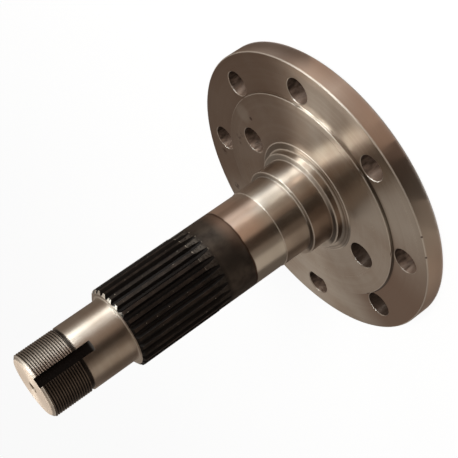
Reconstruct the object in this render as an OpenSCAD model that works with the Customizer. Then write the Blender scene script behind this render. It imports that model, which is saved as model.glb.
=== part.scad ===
// Flanged axle shaft, forged and turned in one piece of steel.
// It stands on the back of its flange, and the shaft points up along Z. Sizes are in millimetres.

/* [Flange] */
// Diameter of the round flange
flange_d = 188; // [170:1:210]
// Thickness of the flange at its rim
flange_t = 12.5; // [8:0.5:18]
// Chamfer on both edges of the rim
rim_chamfer = 0.8; // [0.3:0.1:2]
// Height of the turned face above the flange
raised_h = 1.7; // [0.8:0.1:4]
// Fillet at the foot of the turned face
raised_fillet = 0.5; // [0.2:0.1:0.8]
// Chamfer on the upper edge of the turned face
raised_chamfer = 0.3; // [0.1:0.1:0.5]

/* [Flange holes] */
// Number of bolt holes near the rim
bolt_count = 8; // [4:1:10]
// Distance of a bolt hole's centre from the rim
bolt_edge = 16.5; // [12:0.5:20]
// Diameter of a bolt hole
bolt_hole_d = 16; // [10:0.5:20]
// Width of the flange left between a bolt hole and the turned face
raised_gap = 1; // [0.9:0.1:6]
// Number of holes in the turned face
tool_count = 2; // [1:1:4]
// Circle that the holes in the turned face lie on
tool_pcd = 96; // [92:0.5:106]
// Diameter of a hole in the turned face
tool_hole_d = 17; // [8:0.5:20]
// Chamfer on both mouths of every hole
hole_chamfer = 0.4; // [0.2:0.1:1]

/* [Collar and seats] */
// Diameter of the low ring at the foot of the collar
ring_d = 73; // [67:0.5:76]
// Height of the low ring above the turned face
ring_h = 0.3; // [0.1:0.1:1]
// Height of the cone between the low ring and the collar
cone_h = 1.2; // [0.4:0.1:2.5]
// Diameter of the collar
collar_d = 64; // [58:0.5:66]
// Height of the collar's shoulder above the turned face
collar_h = 5.2; // [4:0.1:12]
// Diameter of the oil seal's seat
seal_d = 56; // [53:0.5:60]
// Length of the oil seal's seat
seal_l = 14.1; // [8:0.1:24]
// Diameter of the bearing's seat
bearing_d = 50; // [49.8:0.1:53]
// Length of the bearing's seat
bearing_l = 18.2; // [12:0.1:28]
// Chamfer on the edges of the collar and the seats
seat_chamfer = 0.4; // [0.2:0.1:1]
// Fillet at the foot of each seat
seat_fillet = 0.8; // [0.3:0.1:1.2]

/* [Spline] */
// Diameter of the plain shank between the bearing's seat and the teeth
shank_d = 49.2; // [47.5:0.1:49.7]
// Length of the plain shank
shank_l = 48.7; // [30:0.1:70]
// Diameter over the teeth
spline_d = 49.7; // [49:0.1:49.8]
// Length of the teeth
spline_l = 53.8; // [30:0.1:80]
// Number of teeth
spline_teeth = 27; // [24:1:30]
// Depth of the gaps between the teeth
spline_depth = 1.9; // [1.4:0.1:2.3]
// Pressure angle of the tooth flanks, in degrees
spline_flank = 30; // [25:1:36]
// Width of a tooth across its top
spline_land = 1.95; // [1.5:0.05:2.4]
// Length of the teeth before the gaps reach their full depth
gap_lead = 1.2; // [0:0.1:6]
// Radius of the hob that cuts the gaps and leaves their run-out
hob_r = 28; // [20:1:45]
// Length of the chamfer on the front of the teeth
tooth_chamfer = 1.3; // [0.6:0.1:2.5]

/* [Neck and thread] */
// Diameter of the plain neck
neck_d = 40; // [36:0.5:44]
// Length of the plain neck
neck_l = 28.9; // [20:0.1:40]
// Fillet where the neck meets the front of the teeth
neck_fillet = 0.8; // [0.4:0.1:1.2]
// Outer diameter of the thread
thread_d = 39.8; // [36:0.1:44]
// Length of the thread up to the end face
thread_l = 25.3; // [15:0.1:40]
// Width of the relief groove behind the thread
relief_w = 1.9; // [1:0.1:4]
// Depth of the relief groove
relief_depth = 0.9; // [0.5:0.1:2]
// Length of the chamfer at the shaft's end
end_chamfer = 1.6; // [0.8:0.1:3]
// Depth of the chamfer at the shaft's end
end_chamfer_depth = 2.2; // [0.8:0.1:4]

/* [Lock washer slot] */
// Width of the slot
slot_w = 6; // [3:0.5:10]
// Depth of the slot below the neck's surface
slot_depth = 3; // [1.5:0.1:5]
// Length of the slot from the shaft's end to where it runs out
slot_l = 35.6; // [24:0.1:44]
// Radius of the disc cutter that mills the slot
slot_cutter_r = 10; // [6:0.5:16]
// Angle of the slot around the shaft from the first bolt hole, in degrees
slot_angle = -82.9; // [-180:0.1:180]

/* [Lathe centres] */
// Diameter of a centre hole's mouth
centre_mouth_d = 6.7; // [4.5:0.1:9]
// Diameter of a centre hole's pilot
centre_pilot_d = 3.15; // [2:0.05:4]
// Depth of a centre hole
centre_depth = 7; // [5.5:0.5:10]
// Angle of a centre hole's countersink, in degrees
centre_angle = 60; // [55:1:70]

/* [Hidden] */
$fn = 96;
steel = [0.55, 0.50, 0.45];
// What a cut runs past the surface that it opens
past = 2;
// Circle of the bolt holes, and inside it the turned face that stands proud of the flange
bolt_pcd = flange_d - 2 * bolt_edge;
raised_d = bolt_pcd - bolt_hole_d - 2 * raised_gap;
// Heights of the shoulders above the flange's back
face_z = flange_t + raised_h;
collar_z = face_z + collar_h;
seal_z = collar_z + seal_l;
bearing_z = seal_z + bearing_l;
spline_z = bearing_z + shank_l;
front_z = spline_z + spline_l;
neck_z = front_z + neck_l;
thread_z = neck_z + relief_w;
end_z = thread_z + thread_l;
// The gap between two teeth, at its mouth, at its floor and where the cut passes the tips
gap_mouth = PI * spline_d / spline_teeth - spline_land;
gap_lean = spline_flank + 180 * gap_mouth / (PI * spline_d);
gap_floor = gap_mouth - 2 * spline_depth * tan(gap_lean);
gap_wide = gap_mouth + 2 * past * tan(gap_lean);
root_r = spline_d / 2 - spline_depth;
tip_past_r = spline_d / 2 + past;
// Height where the hob starts to lift out of a gap
lift_z = spline_z + gap_lead;
// The slot's floor, how far it is cut outwards, and where its floor turns into the cutter's arc
slot_floor_r = neck_d / 2 - slot_depth;
slot_past = max(neck_d, thread_d) / 2 - slot_floor_r + past;
slot_arc_l = sqrt(slot_depth * (2 * slot_cutter_r - slot_depth));
slot_arc_z = end_z - slot_l + slot_arc_l;
// Depth of a centre hole's countersink
centre_cone = (centre_mouth_d - centre_pilot_d) / 2 / tan(centre_angle / 2);

// The turned outline, from the axis outwards along the flange and then up the shaft.
module turned_outline() {
    polygon([
        [0, 0],
        [flange_d / 2 - rim_chamfer, 0],
        [flange_d / 2, rim_chamfer],
        [flange_d / 2, flange_t - rim_chamfer],
        [flange_d / 2 - rim_chamfer, flange_t],
        [raised_d / 2, flange_t],
        [raised_d / 2, face_z - raised_chamfer],
        [raised_d / 2 - raised_chamfer, face_z],
        [ring_d / 2, face_z],
        [ring_d / 2, face_z + ring_h],
        [collar_d / 2, face_z + ring_h + cone_h],
        [collar_d / 2, collar_z - seat_chamfer],
        [collar_d / 2 - seat_chamfer, collar_z],
        [seal_d / 2, collar_z],
        [seal_d / 2, seal_z - seat_chamfer],
        [seal_d / 2 - seat_chamfer, seal_z],
        [bearing_d / 2, seal_z],
        [bearing_d / 2, bearing_z - seat_chamfer],
        [shank_d / 2, bearing_z],
        [shank_d / 2, spline_z],
        [spline_d / 2, spline_z],
        [spline_d / 2, front_z - tooth_chamfer],
        [root_r, front_z],
        [neck_d / 2, front_z],
        [neck_d / 2, neck_z],
        [thread_d / 2 - relief_depth, neck_z],
        [thread_d / 2 - relief_depth, thread_z],
        [thread_d / 2, thread_z],
        [thread_d / 2, end_z - end_chamfer],
        [thread_d / 2 - end_chamfer_depth, end_z],
        [0, end_z]
    ]);
}

// The rounded corner that the turning tool leaves at the foot of a shoulder.
module corner_fillet(radius, height, fillet) {
    translate([radius, height])
        difference() {
            square(fillet);
            translate([fillet, fillet])
                circle(r = fillet);
        }
}

module turned_blank() {
    rotate_extrude() {
        turned_outline();
        corner_fillet(raised_d / 2, flange_t, raised_fillet);
        corner_fillet(seal_d / 2, collar_z, seat_fillet);
        corner_fillet(bearing_d / 2, seal_z, seat_fillet);
        corner_fillet(neck_d / 2, front_z, neck_fillet);
    }
}

// One hole through the flange, chamfered where it meets the back and the front.
module flange_hole(diameter, front) {
    mouth_d = diameter + 2 * (hole_chamfer + past);
    translate([0, 0, -past])
        cylinder(h = face_z + 2 * past, d = diameter);
    translate([0, 0, -past])
        cylinder(h = hole_chamfer + past, d1 = mouth_d, d2 = diameter);
    translate([0, 0, front - hole_chamfer])
        cylinder(h = hole_chamfer + past, d1 = diameter, d2 = mouth_d);
}

// The bolt holes, and midway between them the holes in the turned face.
module flange_holes() {
    for (i = [0 : bolt_count - 1])
        rotate(i * 360 / bolt_count)
            translate([bolt_pcd / 2, 0, 0])
                flange_hole(bolt_hole_d, flange_t);
    for (i = [0 : tool_count - 1])
        rotate(180 / bolt_count + i * 360 / tool_count)
            translate([tool_pcd / 2, 0, 0])
                flange_hole(tool_hole_d, face_z);
}

// The straight part of a gap between two teeth, out past their front.
module gap_straight() {
    translate([0, 0, lift_z])
        linear_extrude(height = front_z - lift_z + past)
            polygon([
                [root_r, -gap_floor / 2],
                [tip_past_r, -gap_wide / 2],
                [tip_past_r, gap_wide / 2],
                [root_r, gap_floor / 2]
            ]);
}

// The run-out of a gap, where the hob's rim lifts out of the shank on its own radius.
module gap_run_out() {
    intersection() {
        translate([root_r + hob_r, 0, lift_z])
            rotate([90, 0, 0])
                rotate_extrude()
                    polygon([
                        [0, -gap_wide / 2],
                        [hob_r - spline_depth - past, -gap_wide / 2],
                        [hob_r, -gap_floor / 2],
                        [hob_r, gap_floor / 2],
                        [hob_r - spline_depth - past, gap_wide / 2],
                        [0, gap_wide / 2]
                    ]);
        translate([0, -gap_wide, lift_z - hob_r])
            cube([tip_past_r, 2 * gap_wide, hob_r]);
    }
}

module spline_gaps() {
    for (i = [0 : spline_teeth - 1])
        rotate(i * 360 / spline_teeth) {
            gap_straight();
            gap_run_out();
        }
}

// The slot for a lock washer's tab. The disc that mills it leaves an arc at its inner end.
module washer_slot() {
    rotate(slot_angle)
        translate([slot_floor_r, 0, slot_arc_z]) {
            translate([0, -slot_w / 2, 0])
                cube([slot_past, slot_w, end_z - slot_arc_z + past]);
            intersection() {
                translate([slot_cutter_r, slot_w / 2, 0])
                    rotate([90, 0, 0])
                        cylinder(h = slot_w, r = slot_cutter_r);
                translate([0, -slot_w, -slot_cutter_r])
                    cube([slot_past, 2 * slot_w, slot_cutter_r]);
            }
        }
}

// A lathe centre, drilled down from the face at height 0.
module lathe_centre() {
    translate([0, 0, -centre_depth])
        cylinder(h = centre_depth + past, d = centre_pilot_d);
    translate([0, 0, -centre_cone])
        cylinder(h = centre_cone, d1 = centre_pilot_d, d2 = centre_mouth_d);
}

module axle_shaft() {
    color(steel)
        difference() {
            turned_blank();
            flange_holes();
            spline_gaps();
            washer_slot();
            translate([0, 0, end_z])
                lathe_centre();
            mirror([0, 0, 1])
                lathe_centre();
        }
}

axle_shaft();
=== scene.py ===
import bmesh
import bpy
import math
from mathutils import Matrix, Vector


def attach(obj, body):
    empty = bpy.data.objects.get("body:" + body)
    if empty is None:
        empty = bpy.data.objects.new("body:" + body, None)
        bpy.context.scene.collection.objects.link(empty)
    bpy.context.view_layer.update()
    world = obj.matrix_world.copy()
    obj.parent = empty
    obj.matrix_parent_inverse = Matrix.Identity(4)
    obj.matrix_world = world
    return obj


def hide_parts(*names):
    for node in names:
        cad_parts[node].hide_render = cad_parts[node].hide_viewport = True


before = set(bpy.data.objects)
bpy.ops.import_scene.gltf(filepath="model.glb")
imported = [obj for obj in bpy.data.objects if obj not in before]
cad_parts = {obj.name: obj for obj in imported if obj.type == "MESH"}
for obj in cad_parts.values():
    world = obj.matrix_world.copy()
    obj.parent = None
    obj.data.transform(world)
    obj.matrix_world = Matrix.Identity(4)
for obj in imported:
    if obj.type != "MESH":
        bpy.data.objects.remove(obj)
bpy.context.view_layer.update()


# The blank: a steel forging with its flange and shaft in one piece, turned all over between
# lathe centres. The shoulders, chamfers and corner fillets are what the turning tool leaves.

MM = 0.001
AROUND, LONGEST_STEP, FINE_ROUNDING = 432, 7.0, 0.3
# radii of the steps in millimetres
RIM, FACE_EDGE, RING, COLLAR, SEAL, BEARING, SHANK = 94.0, 68.5, 36.5, 32.0, 28.0, 25.0, 24.6
TIP, ROOT, NECK, GROOVE, CREST, END_EDGE = 24.85, 22.95, 20.0, 19.0, 19.9, 17.7
# heights above the flange's back
FLANGE, FACE, SEAL_FOOT, BEARING_FOOT, SHANK_FOOT, TEETH_FOOT = 12.5, 14.2, 19.4, 33.5, 51.7, 100.4
TOOTH_FRONT, NECK_TOP, THREAD_FOOT, THREAD_TOP, END = 154.2, 183.1, 185.0, 208.7, 210.3
RING_HEIGHT, CONE_HEIGHT = 0.3, 1.2
RIM_CHAMFER, FACE_CHAMFER, SEAT_CHAMFER, TOOTH_CHAMFER = 0.8, 0.3, 0.4, 1.3
PILOT, CENTRE_MOUTH, CENTRE_CONE, CENTRE_DEPTH = 1.575, 3.35, 3.07, 7.0

# radius, height and rounding of each corner, from the centre in the back to the one in the end
blank_corners = [
    (0, CENTRE_DEPTH, 0), (PILOT, CENTRE_DEPTH, 0), (PILOT, CENTRE_CONE, 0), (CENTRE_MOUTH, 0, 0),
    (RIM - RIM_CHAMFER, 0, 0.15), (RIM, RIM_CHAMFER, 0.15),
    (RIM, FLANGE - RIM_CHAMFER, 0.2), (RIM - RIM_CHAMFER, FLANGE, 0.2),
    (FACE_EDGE, FLANGE, 0.5), (FACE_EDGE, FACE - FACE_CHAMFER, 0.1),
    (FACE_EDGE - FACE_CHAMFER, FACE, 0.1), (RING, FACE, 0.1),
    (RING, FACE + RING_HEIGHT, 0.1), (COLLAR, FACE + RING_HEIGHT + CONE_HEIGHT, 0.4),
    (COLLAR, SEAL_FOOT - SEAT_CHAMFER, 0.12), (COLLAR - SEAT_CHAMFER, SEAL_FOOT, 0.12),
    (SEAL, SEAL_FOOT, 0.8), (SEAL, BEARING_FOOT - SEAT_CHAMFER, 0.12),
    (SEAL - SEAT_CHAMFER, BEARING_FOOT, 0.12), (BEARING, BEARING_FOOT, 0.8),
    (BEARING, SHANK_FOOT - SEAT_CHAMFER, 0.1), (SHANK, SHANK_FOOT, 0.1),
    (SHANK, TEETH_FOOT, 0.08), (TIP, TEETH_FOOT, 0.08),
    (TIP, TOOTH_FRONT - TOOTH_CHAMFER, 0.15), (ROOT, TOOTH_FRONT, 0.1),
    (NECK, TOOTH_FRONT, 0.8), (NECK, NECK_TOP, 0.1),
    (GROOVE, NECK_TOP, 0.1), (GROOVE, THREAD_FOOT, 0.1),
    (CREST, THREAD_FOOT, 0.1), (CREST, THREAD_TOP, 0.15), (END_EDGE, END, 0.15),
    (CENTRE_MOUTH, END, 0), (PILOT, END - CENTRE_CONE, 0),
    (PILOT, END - CENTRE_DEPTH, 0), (0, END - CENTRE_DEPTH, 0),
]


def rounded_line(corners):
    """The outline in millimetres, with an arc at each corner that has a rounding."""
    line = []
    for i, (r, height, rounding) in enumerate(corners):
        here = Vector((r, height))
        if not rounding:
            line.append(here)
            continue
        back = (Vector(corners[i - 1][:2]) - here).normalized()
        on = (Vector(corners[i + 1][:2]) - here).normalized()
        opening = back.angle(on)
        centre = here + (back + on).normalized() * (rounding / math.sin(opening / 2))
        start = here + back * (rounding / math.tan(opening / 2)) - centre
        end = here + on * (rounding / math.tan(opening / 2)) - centre
        sweep = math.atan2(start.cross(end), start.dot(end))
        steps = 5 if rounding > FINE_ROUNDING else 2
        for k in range(steps + 1):
            c, s = math.cos(sweep * k / steps), math.sin(sweep * k / steps)
            line.append(centre + Vector((start.x * c - start.y * s, start.x * s + start.y * c)))
    return line


def stepped(line, longest):
    """The same outline with points added, so that no step is longer than this."""
    points = [line[0]]
    for a, b in zip(line, line[1:]):
        pieces = max(1, math.ceil((b - a).length / longest))
        points += [a.lerp(b, k / pieces) for k in range(1, pieces + 1)]
    return points


def put_in_scene(name, mesh):
    """An object with this mesh, in the scene."""
    thing = bpy.data.objects.new(name, mesh)
    bpy.context.scene.collection.objects.link(thing)
    return thing


def turned_solid(name, line, around):
    """A closed mesh turned about Z from an outline that starts and ends on the axis."""
    angles = [2 * math.pi * k / around for k in range(around)]
    points, rings = [], []
    for r, height in line:
        if r < 1e-6:
            rings.append([len(points)] * around)
            points.append((0, 0, height * MM))
        else:
            rings.append(list(range(len(points), len(points) + around)))
            points += [(r * MM * math.cos(a), r * MM * math.sin(a), height * MM) for a in angles]
    faces = []
    for low, high in zip(rings, rings[1:]):
        for k in range(around):
            n = (k + 1) % around
            corner = [low[k], low[n], high[n], high[k]]
            face = [v for i, v in enumerate(corner) if v not in corner[:i]]
            if len(face) > 2:
                faces.append(face)
    mesh = bpy.data.meshes.new(name)
    mesh.from_pydata(points, [], faces)
    return put_in_scene(name, mesh)


blank_line = stepped(rounded_line(blank_corners), LONGEST_STEP)
shaft = turned_solid("axle_shaft_turned", blank_line, AROUND)

# its finish starts as bare turned steel, a little browned, with the tool's lay round the axis
steel = bpy.data.materials.new("turned_steel")
steel.use_nodes = True
tree = steel.node_tree
tree.nodes.clear()


def put(kind, *values, **settings):
    """A node with its settings made and its inputs set or joined in order; its first output."""
    node = tree.nodes.new(kind)
    for key, value in settings.items():
        setattr(node, key, value)
    for socket, value in zip(node.inputs, values):
        if isinstance(value, bpy.types.NodeSocket):
            tree.links.new(value, socket)
        elif value is not None:
            socket.default_value = value
    return node.outputs[0]


def reckon(operation, first, *rest):
    """One sum worked out from first to last."""
    for value in rest:
        first = put("ShaderNodeMath", first, value, operation=operation)
    return first


def sum_of(*values):
    return reckon("ADD", *values)


def less(*values):
    return reckon("SUBTRACT", *values)


def times(*values):
    return reckon("MULTIPLY", *values)


def most(*values):
    return reckon("MAXIMUM", *values)


def worked(operation, value):
    """A sum with one value, such as its root or sine."""
    return put("ShaderNodeMath", value, operation=operation)


def ramp(value, low, high, to_low=0.0, to_high=1.0):
    """Goes smoothly from to_low to to_high between low and high."""
    return put("ShaderNodeMapRange", value, low, high, to_low, to_high,
               interpolation_type="SMOOTHSTEP")


def fall(value, low, high):
    """Goes smoothly from 1 to 0 between low and high."""
    return ramp(value, low, high, 1.0, 0.0)


def between(value, low, high, soft):
    """1 from low to high, with soft edges."""
    return times(ramp(value, low - soft, low + soft), fall(value, high - soft, high + soft))


def cloud(where, scale, detail=3.0, rough=0.55):
    """Noise from 0 to 1 at this scale."""
    return put("ShaderNodeTexNoise", where, None, scale, detail, rough, noise_dimensions="3D")


def paint(amount, under, over):
    """One colour laid over another by this amount."""
    node = tree.nodes.new("ShaderNodeMix")
    node.data_type = "RGBA"
    factor, first, second = node.inputs[0], node.inputs[6], node.inputs[7]
    for socket, value in ((factor, amount), (first, under), (second, over)):
        if isinstance(value, bpy.types.NodeSocket):
            tree.links.new(value, socket)
        else:
            socket.default_value = (*value, 1.0) if isinstance(value, tuple) else value
    return node.outputs[2]


place = tree.nodes.new("ShaderNodeTexCoord").outputs["Object"]
in_mm = put("ShaderNodeVectorMath", place, (1 / MM, 1 / MM, 1 / MM), operation="MULTIPLY")
axes = tree.nodes.new("ShaderNodeSeparateXYZ")
tree.links.new(in_mm, axes.inputs[0])
x, y, z = axes.outputs
out = worked("SQRT", sum_of(times(x, x), times(y, y)))
turn = put("ShaderNodeMath", y, x, operation="ARCTAN2")


def at_turn(start, end, soft):
    """1 round the axis from one angle to another, in radians."""
    return between(turn, start, end, soft)


def at_height(low, high, soft):
    """1 from one height to another, in millimetres."""
    return between(z, low, high, soft)


def at_radius(low, high, soft):
    """1 from one radius to another, in millimetres."""
    return between(out, low, high, soft)


def spot(r, angle, height, size, soft):
    """A round mark at this radius, angle in degrees and height."""
    at = (r * math.cos(math.radians(angle)), r * math.sin(math.radians(angle)), height)
    node = tree.nodes.new("ShaderNodeVectorMath")
    node.operation = "DISTANCE"
    tree.links.new(in_mm, node.inputs[0])
    node.inputs[1].default_value = at
    return fall(node.outputs["Value"], size - soft, size + soft)


LAY_LENGTH = 0.25
lay_place = put("ShaderNodeCombineXYZ", sum_of(out, z), times(worked("COSINE", turn), LAY_LENGTH),
                times(worked("SINE", turn), LAY_LENGTH))
fine_lay = cloud(lay_place, 1.3, 3.0, 0.7)
broad_lay = cloud(lay_place, 0.30, 3.0)
patches = cloud(in_mm, 0.035, 5.0)
grain = cloud(in_mm, 1.0, 4.0, 0.65)

STEEL, STEEL_BROWN, STEEL_PALE = (0.59, 0.53, 0.465), (0.49, 0.408, 0.338), (0.68, 0.635, 0.57)
RIM_PINK = (0.55, 0.425, 0.355)
on_flange = ramp(out, RING - 0.5, RING + 0.3)
off_flange = less(1.0, on_flange)
on_rim = times(ramp(out, RIM - 1.0, RIM - 0.4), fall(z, FLANGE - 0.5, FLANGE - 0.1))
colour = paint(ramp(patches, 0.38, 0.68), STEEL, STEEL_BROWN)
pale_lay = times(ramp(broad_lay, 0.45, 0.75), sum_of(0.2, times(on_flange, 0.15)))
colour = paint(pale_lay, colour, STEEL_PALE)
brown_lay = times(ramp(fine_lay, 0.52, 0.72), sum_of(0.06, times(on_flange, 0.3)))
colour = paint(brown_lay, colour, STEEL_BROWN)
colour = paint(times(ramp(grain, 0.50, 0.72), 0.22), colour, STEEL_BROWN)
colour = paint(times(on_rim, 0.75), colour, RIM_PINK)
roughness = sum_of(less(0.31, times(on_flange, 0.07)),
                   times(fine_lay, sum_of(0.05, times(on_flange, 0.06))), times(on_rim, 0.14))
lay_height = times(fine_lay, sum_of(0.2, times(on_flange, 0.4)))

# the flange is browned on two sides, most of all outside the turned face; painted shade
# # darkens the face near the rim and parts of the rim over their bright streaks
DARK_BROWN = (0.29, 0.200, 0.152)
outside = times(ramp(out, FACE_EDGE, FACE_EDGE + 0.6), ramp(z, 1.0, 3.0))
upper_brown = times(at_turn(-0.80, 1.24, 0.28), sum_of(0.5, times(outside, 0.2)))
lower_brown = times(outside, 0.95, most(fall(turn, -2.75, -2.0), ramp(turn, 2.75, 3.14)))
# painted shade over the bright streaks on the face near the rim and on the rim itself
edge_shade = times(at_turn(-1.24, -0.5, 0.1), ramp(out, 83.0, 92.0),
                  ramp(turn, -1.15, -0.8, 0.3, 0.55))
rim_shade = most(times(at_turn(-1.04, -0.62, 0.14), 0.95), times(at_turn(-2.85, -2.55, 0.2), 0.85),
                times(at_turn(-1.25, -1.0, 0.1), 0.35))
flange_brown_and_shade = times(most(upper_brown, lower_brown, edge_shade), on_flange, less(1.0, on_rim))
# painted light: one side of the flange is painted paler
painted_lit_side = times(at_turn(-2.15, -1.72, 0.15), on_flange, 0.5)

# painted shade on the seats: they are painted darker below, on top, beside the bright streak
# # and above their corners
on_collar = at_height(FACE + 1.8, SEAL_FOOT - 0.7, 0.2)
on_seal = at_height(SEAL_FOOT + 0.2, BEARING_FOOT - 0.2, 0.2)
on_bearing = at_height(BEARING_FOOT + 0.1, SHANK_FOOT - 0.2, 0.2)
on_seats = most(on_seal, on_bearing)


def above_corners(low, high, soft):
    """1 on both seats, from one height to another above the corner at their feet."""
    return most(at_height(SEAL_FOOT + low, SEAL_FOOT + high, soft),
                at_height(BEARING_FOOT + low, BEARING_FOOT + high, soft))


below = times(ramp(turn, -3.1, -2.85), fall(turn, -1.85, -1.5), off_flange)
below_shade = times(below, most(times(most(on_seal, on_collar), 0.8), times(on_bearing, 0.35)))
top_shade = times(at_turn(-0.45, 0.9, 0.15), off_flange, on_seats, 0.45)
streak_shade = most(times(at_turn(-1.2, -1.0, 0.08), on_seal, 0.7),
                   times(at_turn(-1.53, -1.40, 0.06), on_seats, 0.4))
corner_shade = times(at_turn(-1.1, -0.65, 0.15), above_corners(0.9, 1.9, 0.4), 0.45)
# the flange's brown and all the painted shade are laid on together in dark brown
brown_and_shade = most(flange_brown_and_shade, times(rim_shade, on_rim), below_shade, top_shade, streak_shade, corner_shade)
colour = paint(painted_lit_side, colour, STEEL_PALE)
colour = paint(brown_and_shade, colour, DARK_BROWN)

# painted highlights: the seats' edges, a line above each seat's corner except on the low side,
# # and the rims of the ring, collar, turned face and flange are painted pale as glints
EDGE_GLINT_PALE = (0.80, 0.74, 0.66)
low_side = times(ramp(turn, -3.1, -2.85), fall(turn, -2.15, -1.7))
seat_edge_glints = most(times(at_height(SHANK_FOOT - 0.45, SHANK_FOOT + 0.05, 0.1), 0.7),
                  at_height(BEARING_FOOT - 0.4, BEARING_FOOT - 0.05, 0.1),
                  at_height(SEAL_FOOT - 0.35, SEAL_FOOT, 0.1),
                  times(above_corners(0.15, 0.6, 0.12), less(1.0, low_side)))
ring_rim = times(at_radius(RING - 0.25, RING + 0.4, 0.1), at_height(FACE - 0.08, FACE + 0.45, 0.08))
collar_rim = times(at_radius(COLLAR + 0.3, COLLAR + 1.0, 0.12),
                   at_height(FACE + 1.0, FACE + 1.55, 0.1))
face_rim = times(at_radius(FACE_EDGE - 0.35, FACE_EDGE + 0.1, 0.1),
                 ramp(z, FACE - 0.45, FACE - 0.3))
flange_rim = times(ramp(out, RIM - 0.75, RIM - 0.6), at_height(FLANGE - 0.7, FLANGE + 0.1, 0.1))
edge_glint = most(times(seat_edge_glints, off_flange), ring_rim, collar_rim, face_rim, flange_rim)
colour = paint(times(edge_glint, 0.65), colour, EDGE_GLINT_PALE)
corner = times(above_corners(0.0, 1.1, 0.15), off_flange)
roughness = sum_of(roughness, times(edge_glint, 0.18), times(corner, 0.14))

# painted shade: the shoulders, the cone's face and lines, the collar and the seal's seat on
# # the low side, and the foot of the turned face, most towards -X, are painted dark
SHADE_BROWN = (0.05, 0.037, 0.029)
shoulders = most(times(at_radius(SEAL + 0.5, COLLAR - 0.8, 0.3),
                       at_height(SEAL_FOOT - 0.2, SEAL_FOOT + 0.7, 0.1)),
                 times(at_radius(BEARING, SEAL - 0.8, 0.25),
                       at_height(BEARING_FOOT - 0.2, BEARING_FOOT + 0.7, 0.1)))
on_cone = at_height(FACE + 0.2, FACE + 1.3, 0.1)
cone_lines = times(most(at_radius(RING - 0.9, RING - 0.5, 0.15),
                        at_radius(COLLAR + 1.8, COLLAR + 2.5, 0.2)), on_cone)
cone_face = times(at_radius(COLLAR + 1.2, RING - 0.4, 0.15), on_cone)
high_shade = times(most(shoulders, cone_face), at_turn(-0.72, 1.3, 0.1), 0.45)
low_shade = times(shoulders, low_side, 0.85)
colour = paint(most(low_shade, times(cone_lines, 0.4), high_shade), colour, SHADE_BROWN)
collar_zone = times(at_radius(COLLAR - 0.2, RING + 0.7, 0.2),
                    at_height(FACE - 0.1, SEAL_FOOT - 0.5, 0.1))
collar_low = times(ramp(turn, -3.1, -2.85), ramp(turn, -2.45, -2.15, 0.6, 0.0))
colour = paint(times(collar_zone, collar_low), colour, SHADE_BROWN)
seal_low = times(ramp(turn, -3.1, -2.95), ramp(turn, -2.55, -2.3, 0.35, 0.0))
colour = paint(times(on_seal, off_flange, seal_low), colour, SHADE_BROWN)
face_foot = times(at_radius(FACE_EDGE - 0.1, FACE_EDGE + 0.95, 0.2),
                  at_height(FLANGE - 0.2, FLANGE + 0.9, 0.2))
colour = paint(times(face_foot, ramp(x, -8.0, 24.0, 0.75, 0.0)), colour, SHADE_BROWN)

# rust has started in a few spots on the faces and on the rim; one patch is wiped pale
RUST = (0.060, 0.026, 0.016)
rust = spot(56.4, 6.0, FACE, 1.3, 0.6)
rust_grain = ramp(cloud(in_mm, 0.6, 4.0), 0.30, 0.60)
for r, angle, height, size in ((58.6, 29.0, FACE, 1.6), (60.6, 33.0, FACE, 2.0),
                               (59.6, 37.0, FACE, 1.2), (81.5, 54.0, FLANGE, 2.2),
                               (83.0, 73.0, FLANGE, 2.4)):
    rust = most(rust, times(spot(r, angle, height, size, 1.4), 0.85, rust_grain))
for angle in (-118.0, -126.5):
    rust = most(rust, spot(RIM - 0.4, angle, FLANGE - 0.4, 0.6, 0.25))
wiped = times(spot(62.5, 10.0, FACE, 6.0, 2.5), 0.42)
colour = paint(wiped, colour, STEEL_PALE)
colour = paint(times(rust, 0.85), colour, RUST)
roughness = sum_of(roughness, times(rust, 0.25))
metal = less(1.0, times(rust, 0.1), times(edge_glint, 0.1))


# The flange's holes: eight for bolts near the rim and two in the turned face, midway between
# # bolt holes. They are drilled through and chamfered at both mouths; their walls are painted
# # dark as shade, and their front chamfers pale as painted highlights.

BOLT_HOLES, BOLT_CIRCLE, BOLT_HOLE = 8, 77.5, 8.0
FACE_HOLES, FACE_CIRCLE, FACE_HOLE = 2, 48.0, 8.5
MOUTH, MOUTH_ROUNDING = 0.4, 0.15
DRILL_AROUND, DRILL_PAST, DRILL_TOP = 96, 1.0, 18.0
DRILLED_SHADE, DRILLED_LIT, MOUTH_GLINT = (0.040, 0.026, 0.019), (0.30, 0.212, 0.165), (0.85, 0.80, 0.73)


def cut_away(part, tool):
    """Takes the tool's solid out of the part and removes the tool."""
    cut = part.modifiers.new("cut", "BOOLEAN")
    cut.operation, cut.solver, cut.object = "DIFFERENCE", "MANIFOLD", tool
    cut_part = part.evaluated_get(bpy.context.evaluated_depsgraph_get())
    left = bpy.data.meshes.new_from_object(cut_part)
    part.modifiers.remove(cut)
    part.data = left
    bpy.data.objects.remove(tool)


def drill(radius, front, angle, circle):
    """The solid that a drill and a countersink take out of the flange."""
    wide = radius + MOUTH + DRILL_PAST
    line = rounded_line([(0, -DRILL_PAST, 0), (wide, -DRILL_PAST, 0),
                         (radius, MOUTH, MOUTH_ROUNDING), (radius, front - MOUTH, MOUTH_ROUNDING),
                         (wide, front + DRILL_PAST, 0), (wide, DRILL_TOP, 0), (0, DRILL_TOP, 0)])
    bit = turned_solid("drill", stepped(line, LONGEST_STEP), DRILL_AROUND)
    bit.location = (circle * MM * math.cos(angle), circle * MM * math.sin(angle), 0)
    return bit


def from_nearest(count, first):
    """The angle from the nearest of so many like places round the axis, the first of them here."""
    share = 2 * math.pi / count
    two_turns = 4 * math.pi
    folded = put("ShaderNodeMath", less(turn, first - share / 2 - two_turns), share,
                 operation="MODULO")
    return less(folded, share / 2)


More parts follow.
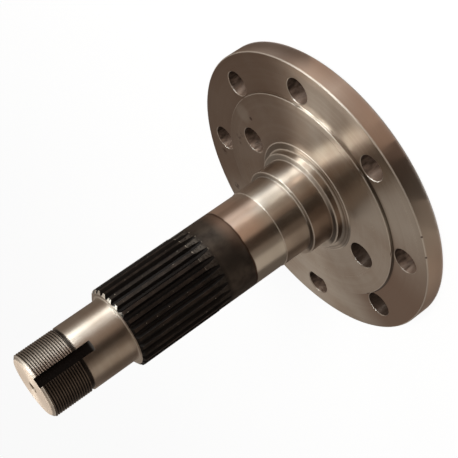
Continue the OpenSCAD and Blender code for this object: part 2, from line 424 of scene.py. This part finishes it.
def hole_walls(count, circle, radius, first, front):
    """1 on the walls of a ring of holes, and 1 on their front chamfers."""
    angle = from_nearest(count, first)
    across = less(times(out, worked("COSINE", angle)), circle)
    aside = times(out, worked("SINE", angle))
    gap = worked("SQRT", sum_of(times(across, across), times(aside, aside)))
    wall = times(fall(gap, radius + 0.1, radius + 0.4), fall(z, front - 0.45, front - 0.3))
    mouth = times(fall(gap, radius + 0.38, radius + 0.45),
                  at_height(front - 0.36, front - 0.03, 0.04))
    return wall, mouth


FIRST_FACE_HOLE = math.pi / BOLT_HOLES
for k in range(BOLT_HOLES):
    cut_away(shaft, drill(BOLT_HOLE, FLANGE, 2 * math.pi * k / BOLT_HOLES, BOLT_CIRCLE))
for k in range(FACE_HOLES):
    angle = FIRST_FACE_HOLE + 2 * math.pi * k / FACE_HOLES
    cut_away(shaft, drill(FACE_HOLE, FACE, angle, FACE_CIRCLE))
bolt_walls, bolt_mouths = hole_walls(BOLT_HOLES, BOLT_CIRCLE, BOLT_HOLE, 0.0, FLANGE)
face_walls, face_mouths = hole_walls(FACE_HOLES, FACE_CIRCLE, FACE_HOLE, FIRST_FACE_HOLE, FACE)
walls, mouth_glints = most(bolt_walls, face_walls), most(bolt_mouths, face_mouths)

# painted light and shade: each wall is painted lighter where it faces +X and darker where it
# # faces away, with random streaks, and the two holes towards -X are darker still
facing = tree.nodes.new("ShaderNodeSeparateXYZ")
tree.links.new(tree.nodes.new("ShaderNodeNewGeometry").outputs["Normal"], facing.inputs[0])
scored = cloud(put("ShaderNodeCombineXYZ", x, y, times(z, 0.5)), 0.40, 4.0)
facing_light_and_streaks = sum_of(times(facing.outputs[0], 0.45), times(less(scored, 0.5), 1.4))
darker_holes = times(ramp(x, -36.0, -28.0, 0.7, 0.0), between(y, -34.0, 14.0, 4.0))
wall_colour = paint(times(ramp(facing_light_and_streaks, -0.5, 0.5), less(1.0, darker_holes)), DRILLED_SHADE, DRILLED_LIT)
colour = paint(walls, colour, wall_colour)
# painted highlight: the front chamfers are painted pale
colour = paint(times(mouth_glints, 0.6), colour, MOUTH_GLINT)
roughness = sum_of(roughness, times(walls, 0.2), times(mouth_glints, 0.15))
metal = less(metal, times(walls, 0.4))


# The spline: teeth hobbed into the shank and hardened, which leaves black scale. Each gap is
# straight up to the front of the teeth and runs out towards the flange on the hob's own radius.

TEETH, HOB = 27, 28.0
GAP_FLOOR, GAP_LEAN, GAP_PAST = 1.365, math.tan(math.radians(34.4)), 0.5
FULL_DEPTH, GAP_TIP, SCALE_EDGE = 101.6, 92.0, 73.6
STRAIGHT_STEPS, STRAIGHT_STEP, RUN_OUT_STEPS, FRONT_PAST = 8, 6.5, 18, 0.6


def swept_solid(name, sections):
    """A closed mesh through a row of cross-sections in millimetres, each with as many corners."""
    count = len(sections[0])
    points = [tuple(c * MM for c in p) for section in sections for p in section]
    faces = []
    for first in range(0, len(points) - count, count):
        for k in range(count):
            n = (k + 1) % count
            faces.append([first + k, first + n, first + count + n, first + count + k])
    faces += [list(range(count))[::-1], list(range(len(points) - count, len(points)))]
    mesh = bpy.data.meshes.new(name)
    mesh.from_pydata(points, [], faces)
    clean = bmesh.new()
    clean.from_mesh(mesh)
    bmesh.ops.recalc_face_normals(clean, faces=clean.faces)
    clean.to_mesh(mesh)
    clean.free()
    return put_in_scene(name, mesh)


def gap_section(lift, at):
    """The gap's four corners where the hob has turned by this angle away from full depth."""
    depth = TIP - ROOT + GAP_PAST
    floor, mouth = GAP_FLOOR / 2, GAP_FLOOR / 2 + depth * GAP_LEAN
    sides = ((HOB, -floor), (HOB, floor), (HOB - depth, mouth), (HOB - depth, -mouth))
    return [(ROOT + HOB - reach * math.cos(lift), half, at - reach * math.sin(lift))
            for reach, half in sides]


hob_exit = math.acos((ROOT + HOB - TIP - GAP_PAST) / HOB)
gap_line = [gap_section(0, TOOTH_FRONT + FRONT_PAST)]
gap_line += [gap_section(0, FULL_DEPTH + STRAIGHT_STEP * k) for k in range(STRAIGHT_STEPS, -1, -1)]
gap_line += [gap_section(hob_exit * k / RUN_OUT_STEPS, FULL_DEPTH)
             for k in range(1, RUN_OUT_STEPS + 1)]
for k in range(TEETH):
    gap = swept_solid("gap", gap_line)
    gap.rotation_euler.z = 2 * math.pi * k / TEETH
    cut_away(shaft, gap)

# heat has tinted the shank pink up to the scale's edge; painted shade darkens the shank over
# # its bright streak, and painted light makes its low side paler
HEAT_PINK = (0.78, 0.565, 0.45)
wander = less(cloud(put("ShaderNodeCombineXYZ", x, y, 0.0), 0.10, 2.0), 0.5)
edge = sum_of(z, times(wander, 1.6))
tint = times(between(edge, SCALE_EDGE - 15.6, SCALE_EDGE + 6.4, 7.0),
             sum_of(0.15, times(at_turn(-1.65, 2.6, 0.35), 0.5)))
on_shank = at_height(SHANK_FOOT + 0.3, SCALE_EDGE, 0.3)
colour = paint(tint, colour, HEAT_PINK)
colour = paint(times(on_shank, at_turn(-1.02, -0.55, 0.12), 0.8), colour, DARK_BROWN)
colour = paint(times(on_shank, at_turn(-2.9, -1.85, 0.15), 0.8), colour, STEEL_PALE)

# the scale is black all the way to the teeth's front, which loses it in patches on its upper
# # side, where the front is painted bright as a painted highlight
chamfer_cone = sum_of(ROOT - 0.12, times(less(TOOTH_FRONT, z), (TIP - ROOT) / TOOTH_CHAMFER))
bare_front_glint = times(at_height(TOOTH_FRONT - TOOTH_CHAMFER - 0.05, TOOTH_FRONT - 0.05, 0.1),
                   ramp(less(out, chamfer_cone), -0.05, 0.05), at_turn(-1.25, 1.6, 0.25))
scale_lost = times(bare_front_glint, ramp(cloud(in_mm, 0.5, 2.0), 0.25, 0.5))
on_scale = times(ramp(edge, SCALE_EDGE - 0.3, SCALE_EDGE + 0.3),
                 fall(z, TOOTH_FRONT - 0.2, TOOTH_FRONT), less(1.0, scale_lost))
BLACK, BLACK_GAP_SHADE = (0.021, 0.0148, 0.0112), (0.010, 0.008, 0.007)
BLACK_BROWN, BLACK_WORN = (0.052, 0.033, 0.024), (0.044, 0.032, 0.0245)
BLACK_DULL = (0.074, 0.055, 0.0415)
BROWN, DUST, CHIP_AND_GLINT_PALE = (0.150, 0.090, 0.062), (0.105, 0.088, 0.072), (0.55, 0.47, 0.38)
upper = at_turn(-1.35, 1.6, 0.45)
on_teeth = ramp(z, TEETH_FOOT - 2.4, TEETH_FOOT + 0.6)
black = paint(times(ramp(cloud(in_mm, 0.10, 4.0), 0.40, 0.75), 0.6), BLACK, BLACK_BROWN)
dull = times(ramp(z, GAP_TIP - 2.0, GAP_TIP + 1.0, 0.85, 0.0),
             ramp(cloud(in_mm, 0.07, 3.0), 0.35, 0.6))
black = paint(dull, black, BLACK_DULL)
# painted shade: one side of the black is painted darker
black_shaded_side = times(at_turn(-1.95, -1.42, 0.2), at_height(SCALE_EDGE + 3.4, GAP_TIP - 1.0, 3.0), 0.7)
black = paint(black_shaded_side, black, BLACK)
browned = times(ramp(edge, SCALE_EDGE + 1.9, SCALE_EDGE + 9.4, 0.85, 0.0), upper)
black = paint(browned, black, BROWN)
rubbed = times(ramp(cloud(in_mm, 0.30, 5.0), 0.50, 0.72), on_teeth, 0.7)
black = paint(rubbed, black, BLACK_WORN)

# dust lies round the run-outs and the teeth have chips; the gaps are painted darker as shade,
# # and pale glints at the gaps' tips and the teeth's foot on the upper side are painted highlights
dusty = times(ramp(z, GAP_TIP - 1.0, GAP_TIP + 2.5), fall(z, TEETH_FOOT - 0.2, TEETH_FOOT + 0.5),
              sum_of(0.2, times(upper, 0.55)), ramp(cloud(in_mm, 0.9, 3.0), 0.30, 0.62))
black = paint(dusty, black, DUST)
top_radius = sum_of(SHANK, ramp(z, TEETH_FOOT - 0.1, TEETH_FOOT + 0.1, 0.0, TIP - SHANK))
in_gap = times(ramp(less(top_radius, out), 0.04, 0.22), ramp(z, GAP_TIP - 2.0, GAP_TIP))
black = paint(times(in_gap, 0.9), black, BLACK_GAP_SHADE)
chips = times(ramp(cloud(in_mm, 0.55, 2.0), 0.70, 0.76), ramp(out, TIP - 0.15, TIP - 0.05),
              on_teeth)
from_gap = worked("ABSOLUTE", times(from_nearest(TEETH, 0.0), SHANK))
tip_glint = times(at_height(GAP_TIP - 0.2, GAP_TIP + 0.4, 0.25), fall(from_gap, 0.2, 0.8), 0.4)
foot_glint = times(at_height(TEETH_FOOT - 0.1, TEETH_FOOT + 0.4, 0.25),
                  ramp(out, SHANK + 0.02, SHANK + 0.2))
painted_glint = times(most(tip_glint, foot_glint), upper, ramp(cloud(in_mm, 0.8, 2.0), 0.36, 0.62))
black = paint(most(times(chips, 0.8), painted_glint), black, CHIP_AND_GLINT_PALE)

# the shoulder in front of the teeth is painted bright as a painted highlight; the neck is a
# # little browned all round, and painted shade darkens it more beside its bright streak
FRONT_HIGHLIGHT, SCALE_LINE = (0.97, 0.92, 0.84), (0.050, 0.021, 0.011)
shoulder = times(at_radius(NECK + 0.3, NECK + 1.5, 0.2),
                 at_height(TOOTH_FRONT - 0.1, TOOTH_FRONT + 0.6, 0.05))
bare_front_glint = most(bare_front_glint, times(shoulder, 0.8))
colour = paint(times(bare_front_glint, 0.9), colour, FRONT_HIGHLIGHT)
colour = paint(on_scale, colour, black)
on_neck = at_height(TOOTH_FRONT + 0.4, NECK_TOP + 0.1, 0.2)
neck_brown_and_shade = times(on_neck, sum_of(0.1, times(at_turn(-1.75, -0.98, 0.12), 0.2)))
colour = paint(neck_brown_and_shade, colour, DARK_BROWN)
scale_line = between(edge, SCALE_EDGE - 0.5, SCALE_EDGE + 0.5, 0.3)
colour = paint(times(scale_line, 0.9), colour, SCALE_LINE)
before_teeth = ramp(z, TOOTH_FRONT - 0.2, TOOTH_FRONT + 0.3)
roughness = sum_of(roughness, times(bare_front_glint, 0.3), times(before_teeth, 0.11),
                   times(on_scale, 0.34))
metal = less(metal, times(on_scale, 0.25))


# The slot for a lock washer's tab: milled along the thread and into the neck with a disc cutter,
# whose radius shows as the curved floor at the slot's inner end. Black grease has stayed in it.

SLOT_HALF, SLOT_FLOOR, SLOT_PAST, SLOT_TURN = 3.0, 17.0, 20.8, math.radians(-82.9)
CUTTER, CUTTER_RISE, CUTTER_STEPS = 10.0, 3.1, 18
SLOT_FLAT, SLOT_END = 181.84, 174.7
GREASE, GREASE_THIN = (0.010, 0.0068, 0.0054), (0.17, 0.16, 0.15)
slot_line = [(SLOT_FLOOR, at) for at in (211.0, 204.0, 197.0, 190.0)]
for k in range(CUTTER_STEPS + 1):
    lift = math.acos((CUTTER - CUTTER_RISE) / CUTTER) * k / CUTTER_STEPS
    slot_line.append((SLOT_FLOOR + CUTTER * (1 - math.cos(lift)),
                      SLOT_FLAT - CUTTER * math.sin(lift)))
slot = swept_solid("slot", [[(floor, -SLOT_HALF, at), (floor, SLOT_HALF, at),
                             (SLOT_PAST, SLOT_HALF, at), (SLOT_PAST, -SLOT_HALF, at)]
                            for floor, at in slot_line])
slot.rotation_euler.z = SLOT_TURN
cut_away(shaft, slot)

along = sum_of(times(x, math.cos(SLOT_TURN)), times(y, math.sin(SLOT_TURN)))
aside = worked("ABSOLUTE", less(times(y, math.cos(SLOT_TURN)), times(x, math.sin(SLOT_TURN))))
in_slot = times(fall(aside, SLOT_HALF + 0.02, SLOT_HALF + 0.1),
                ramp(along, SLOT_FLOOR - 2.0, SLOT_FLOOR - 1.5),
                fall(out, CREST - 0.12, CREST), ramp(z, SLOT_END - 0.7, SLOT_END - 0.2))
grease_thin = fall(z, SLOT_END - 0.1, SLOT_END + 1.9)
colour = paint(in_slot, colour, paint(grease_thin, GREASE, GREASE_THIN))
roughness = sum_of(roughness, times(in_slot, 0.25))
metal = less(metal, times(in_slot, 0.15))


# The thread: a fine right-hand thread for the lock nut, cut with a single point from the relief
# # groove out through the chamfered end. Its crests are bright, its roots and relief groove are
# # painted near black, and painted shade darkens its low side and the turns beside the slot.

PITCH, THREAD_ROOT, ROOT_FLAT, THREAD_START = 1.5, 19.03, 0.24, 184.1
TURNS, TURN_STEPS = 18, 120
THREAD_GREASE_AND_SHADE, ROOT_DARK = (0.075, 0.056, 0.045), (0.018, 0.013, 0.010)
CREST_BRIGHT = (0.58, 0.47, 0.39)
past_crest = CREST + 0.07
open_half = ROOT_FLAT / 2 + (past_crest - THREAD_ROOT) * math.tan(math.radians(30))
point_corners = ((THREAD_ROOT, -ROOT_FLAT / 2), (THREAD_ROOT, ROOT_FLAT / 2),
                 (past_crest, open_half), (past_crest, -open_half))
thread_line = []
for k in range(TURNS * TURN_STEPS + 1):
    angle = 2 * math.pi * k / TURN_STEPS
    at = THREAD_START + PITCH * k / TURN_STEPS
    thread_line.append([(r * math.cos(angle), r * math.sin(angle), at + rise)
                        for r, rise in point_corners])
cut_away(shaft, swept_solid("thread", thread_line))

on_thread = at_height(NECK_TOP + 0.1, THREAD_TOP + 0.3, 0.15)
off_slot = less(1.0, in_slot)
at_skin = ramp(out, GROOVE - 0.3, GROOVE - 0.1)
beside_slot_shade = times(at_turn(SLOT_TURN - 0.1, -1.10, 0.12), 0.6)
# a little brown all round, and painted shade on the turns beside the slot
colour = paint(times(on_thread, off_slot, sum_of(0.18, beside_slot_shade)), colour, DARK_BROWN)
# a little grease all round, and painted shade on the low side
thread_shaded_side = times(ramp(turn, -3.1, -2.7), fall(turn, SLOT_TURN - 0.08, SLOT_TURN + 0.08))
grease_and_shade = times(most(thread_shaded_side, 0.2), on_thread, at_skin)
colour = paint(times(grease_and_shade, 0.86), colour, THREAD_GREASE_AND_SHADE)
deep = times(at_height(NECK_TOP + 0.1, THREAD_TOP + 0.6, 0.15),
             fall(out, THREAD_ROOT + 0.09, THREAD_ROOT + 0.47), at_skin)
colour = paint(times(deep, 0.97), colour, ROOT_DARK)
crests = times(at_height(THREAD_FOOT - 0.2, THREAD_TOP + 0.3, 0.15),
               ramp(out, CREST - 0.2, CREST - 0.05), off_slot)
colour = paint(times(crests, 0.3), colour, CREST_BRIGHT)
on_turns = at_height(THREAD_FOOT, THREAD_TOP + 0.3, 0.2)
roughness = sum_of(roughness, times(on_turns, 0.2))
metal = less(metal, times(deep, 0.15))


# The finished part: the shaft's end is faced off, dull and pale, with a bright bevel and a dark
# lathe centre. The whole is one piece of bare steel with crisp corners.

END_PALE, BEVEL_PALE = (0.82, 0.69, 0.57), (0.93, 0.87, 0.79)
CENTRE_DARK, CENTRE_PALE = (0.06, 0.044, 0.034), (0.62, 0.52, 0.42)
SHARPEST = math.radians(26)
end_face = ramp(z, END - 0.15, END - 0.05)
bevel_zone = times(ramp(z, THREAD_TOP + 0.05, THREAD_TOP + 0.25),
                   ramp(out, END_EDGE - 0.4, END_EDGE - 0.2))
on_end = most(end_face, bevel_zone)
on_bevel = times(on_end, less(1.0, end_face))
in_centre = times(fall(out, CENTRE_MOUTH - 0.15, CENTRE_MOUTH + 0.15),
                  fall(z, END - 0.3, END - 0.05))
centre_colour = paint(ramp(out, PILOT - 0.075, CENTRE_MOUTH - 0.25), CENTRE_DARK, CENTRE_PALE)
colour = paint(times(on_end, 0.95), colour, END_PALE)
colour = paint(on_bevel, colour, BEVEL_PALE)
colour = paint(in_centre, colour, centre_colour)
roughness = sum_of(roughness, times(on_end, 0.42), times(on_bevel, -0.30), times(in_centre, 0.2))
metal = less(metal, times(less(on_end, on_bevel), 0.5))

shine = tree.nodes.new("ShaderNodeBsdfPrincipled")
tree.links.new(colour, shine.inputs["Base Color"])
tree.links.new(roughness, shine.inputs["Roughness"])
tree.links.new(metal, shine.inputs["Metallic"])
shine.inputs["Anisotropic"].default_value = 0.8
shine.inputs["Anisotropic Rotation"].default_value = 0.25
tangent = tree.nodes.new("ShaderNodeTangent")
tangent.direction_type, tangent.axis = "RADIAL", "Z"
tree.links.new(tangent.outputs[0], shine.inputs["Tangent"])
bump = tree.nodes.new("ShaderNodeBump")
bump.inputs["Strength"].default_value = 0.12
bump.inputs["Distance"].default_value = 0.05 * MM
tree.links.new(lay_height, bump.inputs["Height"])
tree.links.new(bump.outputs[0], shine.inputs["Normal"])
surface = tree.nodes.new("ShaderNodeOutputMaterial")
tree.links.new(shine.outputs[0], surface.inputs[0])
shaft.data.materials.clear()
shaft.data.materials.append(steel)
for face in shaft.data.polygons:
    face.use_smooth = True
shaft.data.set_sharp_from_angle(angle=SHARPEST)
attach(shaft, "root")
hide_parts("axle_shaft")


# The floor: a plain sheet of white card that the flange lies on, wide enough to fill the view.
# It shows white and keeps a little of the part's shadow.

FLOOR_HALF, FLOOR_LEVEL = 6.0, -0.0002
FLOOR_WHITE, FLOOR_GLOW = 0.95, 0.9


def seen_rays(node_tree):
    """1 for what the camera, a mirror or glass sees, and 0 for light that falls on the part."""
    rays = node_tree.nodes.new("ShaderNodeLightPath")
    seen = rays.outputs["Is Camera Ray"]
    for ray in ("Is Glossy Ray", "Is Transmission Ray"):
        either = node_tree.nodes.new("ShaderNodeMath")
        either.operation = "MAXIMUM"
        node_tree.links.new(seen, either.inputs[0])
        node_tree.links.new(rays.outputs[ray], either.inputs[1])
        seen = either.outputs[0]
    return seen


floor_mesh = bpy.data.meshes.new("floor")
floor_mesh.from_pydata([(FLOOR_HALF * a, FLOOR_HALF * b, FLOOR_LEVEL)
                        for a, b in ((-1, -1), (1, -1), (1, 1), (-1, 1))], [], [[0, 1, 2, 3]])
floor = put_in_scene("floor", floor_mesh)
white = bpy.data.materials.new("white_sheet")
white.use_nodes = True
sheet = white.node_tree
sheet.nodes.clear()
part_glow = sheet.nodes.new("ShaderNodeMath")
part_glow.operation = "MULTIPLY"
part_glow.inputs[1].default_value = FLOOR_GLOW
sheet.links.new(seen_rays(sheet), part_glow.inputs[0])
matt = sheet.nodes.new("ShaderNodeBsdfDiffuse")
matt.inputs[0].default_value = (FLOOR_WHITE, FLOOR_WHITE, FLOOR_WHITE, 1)
glow = sheet.nodes.new("ShaderNodeEmission")
join = sheet.nodes.new("ShaderNodeMixShader")
sheet.links.new(part_glow.outputs[0], join.inputs[0])
sheet.links.new(matt.outputs[0], join.inputs[1])
sheet.links.new(glow.outputs[0], join.inputs[2])
last = sheet.nodes.new("ShaderNodeOutputMaterial")
sheet.links.new(join.outputs[0], last.inputs[0])
floor_mesh.materials.append(white)


# The light: a white surround, a soft lamp above and one to the side, as in a small studio. Cards
# # that glow at set tones, some far brighter than white and seen only in reflections, stand and lie
# # round the part and give the bare metal its dark and bright streaks.

SKY_LIGHT, SKY_SEEN = 0.44, 1.0
world = bpy.data.worlds.new("surround")
bpy.context.scene.world = world
world.use_nodes = True
sky = world.node_tree
sky.nodes.clear()
level = sky.nodes.new("ShaderNodeMapRange")
level.inputs["To Min"].default_value = SKY_LIGHT
level.inputs["To Max"].default_value = SKY_SEEN
sky.links.new(seen_rays(sky), level.inputs[0])
back = sky.nodes.new("ShaderNodeBackground")
back.inputs["Color"].default_value = (1, 1, 1, 1)
sky.links.new(level.outputs[0], back.inputs["Strength"])
sky_out = sky.nodes.new("ShaderNodeOutputWorld")
sky.links.new(back.outputs[0], sky_out.inputs[0])


def card(name, tone, rows):
    """A card through rows of points that glows at this tone, which only the part's reflections see.
    """
    count = len(rows[0])
    faces = []
    for first in range(0, count * (len(rows) - 1), count):
        for k in range(first, first + count - 1):
            faces.append([k, k + 1, k + count + 1, k + count])
    mesh = bpy.data.meshes.new(name)
    mesh.from_pydata([p for row in rows for p in row], [], faces)
    paper = bpy.data.materials.new(name)
    paper.use_nodes = True
    paper.node_tree.nodes.clear()
    shade = paper.node_tree.nodes.new("ShaderNodeEmission")
    shade.inputs[0].default_value = (*tone, 1)
    end = paper.node_tree.nodes.new("ShaderNodeOutputMaterial")
    paper.node_tree.links.new(shade.outputs[0], end.inputs[0])
    mesh.materials.append(paper)
    paper_card = put_in_scene(name, mesh)
    for ray in ("camera", "diffuse", "transmission", "volume_scatter", "shadow"):
        setattr(paper_card, "visible_" + ray, False)


def sector(name, tone, start, end, inner, outer):
    """A card that is part of a ring round the part, between two radii and heights in metres."""
    steps = max(2, round(abs(end - start) / 4))
    angles = [math.radians(start + (end - start) * k / steps) for k in range(steps + 1)]
    card(name, tone, [[(r * math.cos(a), r * math.sin(a), h) for a in angles]
                      for r, h in (inner, outer)])


# cards on the floor and standing round it: start and end in degrees, and the tone of each
FLOOR_INNER, WALL_FOOT, WALL_TOP = (0.117, 0.0005), (1.5, 0.0005), (1.5, 1.5)
for number, (start, end, low_tone, high_tone) in enumerate((
        (-42, -4, None, (0.85, 0.80, 0.72)),
        (-4, 12, (0.46, 0.40, 0.34), (0.42, 0.36, 0.31)),
        (12, 60, (0.25, 0.20, 0.165), (0.21, 0.175, 0.145)),
        (60, 92, (0.20, 0.16, 0.13), (0.19, 0.155, 0.13)),
        (92, 100, (0.15, 0.12, 0.10), (0.29, 0.25, 0.215)),
        (100, 106, (0.12, 0.097, 0.08), (0.44, 0.39, 0.345)),
        (106, 118, (0.12, 0.097, 0.08), (0.31, 0.27, 0.235)),
        (118, 140, (0.12, 0.097, 0.08), (0.41, 0.36, 0.315)),
        (140, 180, (0.12, 0.10, 0.082), (0.19, 0.16, 0.14)),
        (-180, -142, (0.56, 0.49, 0.41), (0.45, 0.40, 0.34)),
        (-142, -120, (0.22, 0.18, 0.145), (0.20, 0.165, 0.135)),
        (-120, -88, (0.025, 0.017, 0.013), (0.03, 0.021, 0.016)),
        (-88, -47, (0.46, 0.36, 0.285), (0.40, 0.315, 0.25)),
        (-47, -42, (0.62, 0.54, 0.46), (0.62, 0.54, 0.46)))):
    if low_tone:
        sector("card_floor_%d" % number, low_tone, start, end, FLOOR_INNER, WALL_FOOT)
    sector("card_wall_%d" % number, high_tone, start, end, WALL_FOOT, WALL_TOP)

# the floor close to the rim, in the part's own shade, and the dark under the flange
NEAR_INNER, NEAR_OUTER = (0.0945, 0.0008), (0.118, 0.0008)
UNDER_INNER, UNDER_OUTER = (0.0005, -0.0001), (0.0945, -0.0001)
for number, (start, end, tone) in enumerate((
        (-45, 60, (0.14, 0.11, 0.088)), (60, 140, (0.07, 0.057, 0.047)),
        (140, 158, (0.16, 0.133, 0.11)), (158, 180, (0.44, 0.365, 0.31)),
        (-180, -155, (0.36, 0.30, 0.25)), (-155, -135, (0.38, 0.32, 0.265)),
        (-135, -120, (0.34, 0.29, 0.24)), (-120, -108, (0.24, 0.20, 0.165)),
        (-108, -92, (0.07, 0.057, 0.047)), (-92, -86, (0.16, 0.12, 0.097)),
        (-86, -78, (0.44, 0.33, 0.26)), (-78, -45, (0.54, 0.405, 0.32)))):
    sector("card_near_%d" % number, tone, start, end, NEAR_INNER, NEAR_OUTER)
sector("card_under", (0.03, 0.024, 0.02), 0, 360, UNDER_INNER, UNDER_OUTER)

# a dim ceiling with two pale panels and a dark one, and a bright card high on one side: the
# streak that it makes on the shaft shows again in the flange's face, as a fan
CEILING_HALF, CEILING, PANELS = 1.6, 1.5, 1.45
card("card_ceiling", (0.25, 0.205, 0.168),
     [[(-CEILING_HALF, side, CEILING), (CEILING_HALF, side, CEILING)]
      for side in (-CEILING_HALF, CEILING_HALF)])
sector("card_panel", (3.4, 3.25, 3.0), 58, 90, (0.25, PANELS), (0.90, PANELS))
sector("card_high", (16.9, 18.9, 19.8), -43, -31, (1.45, 0.72), (1.45, 1.35))
sector("card_panel_dim", (5.6, 5.3, 4.8), 54, 74, (0.90, PANELS), (1.30, PANELS))
sector("card_panel_dark", (0.03, 0.024, 0.02), 99, 110, (0.15, PANELS), (1.2, PANELS))


def soft_lamp(name, where, aim, width, tall, watts, mirrored, tone):
    """A soft box turned to face the part, which bare metal mirrors or not."""
    lamp = bpy.data.lights.new(name, "AREA")
    lamp.shape, lamp.size, lamp.size_y = "RECTANGLE", width, tall
    lamp.energy, lamp.color = watts, tone
    stand = put_in_scene(name, lamp)
    stand.location, stand.visible_glossy = where, mirrored
    stand.rotation_euler = (Vector(aim) - Vector(where)).to_track_quat("-Z", "Y").to_euler()


soft_lamp("lamp_above", (0.25, -0.75, 1.0), (0, 0, 0.05), 0.5, 0.5, 14, False, (1.0, 0.96, 0.90))
soft_lamp("lamp_side", (0.95, -0.33, 0.25), (0, 0, 0.1), 0.3, 0.5, 3.4, True, (0.92, 1.0, 1.01))


# The camera: it stands in front of the part, above the floor, and is rolled, so that the shaft
# points down to the left. The lens is shifted, because the picture is cut to one side.

lens = bpy.data.cameras.new("camera")
lens.sensor_width, lens.lens = 36.0, 84.686
lens.shift_x, lens.shift_y = 0.14606, 0.07441
lens.clip_start, lens.clip_end = 0.01, 50.0
camera = put_in_scene("camera", lens)
right = Vector((-0.546814, -0.295134, -0.783512))
up = Vector((0.834653, -0.118449, -0.537888))
ahead = Vector((-0.065943, 0.948085, -0.311105))
stand_at = Matrix.Translation((0.055478, -0.571907, 0.299116))
camera.matrix_world = stand_at @ Matrix((right, up, -ahead)).transposed().to_4x4()
bpy.context.scene.camera = camera

bpy.context.scene.view_settings.view_transform = "Standard"
bpy.context.view_layer.update()
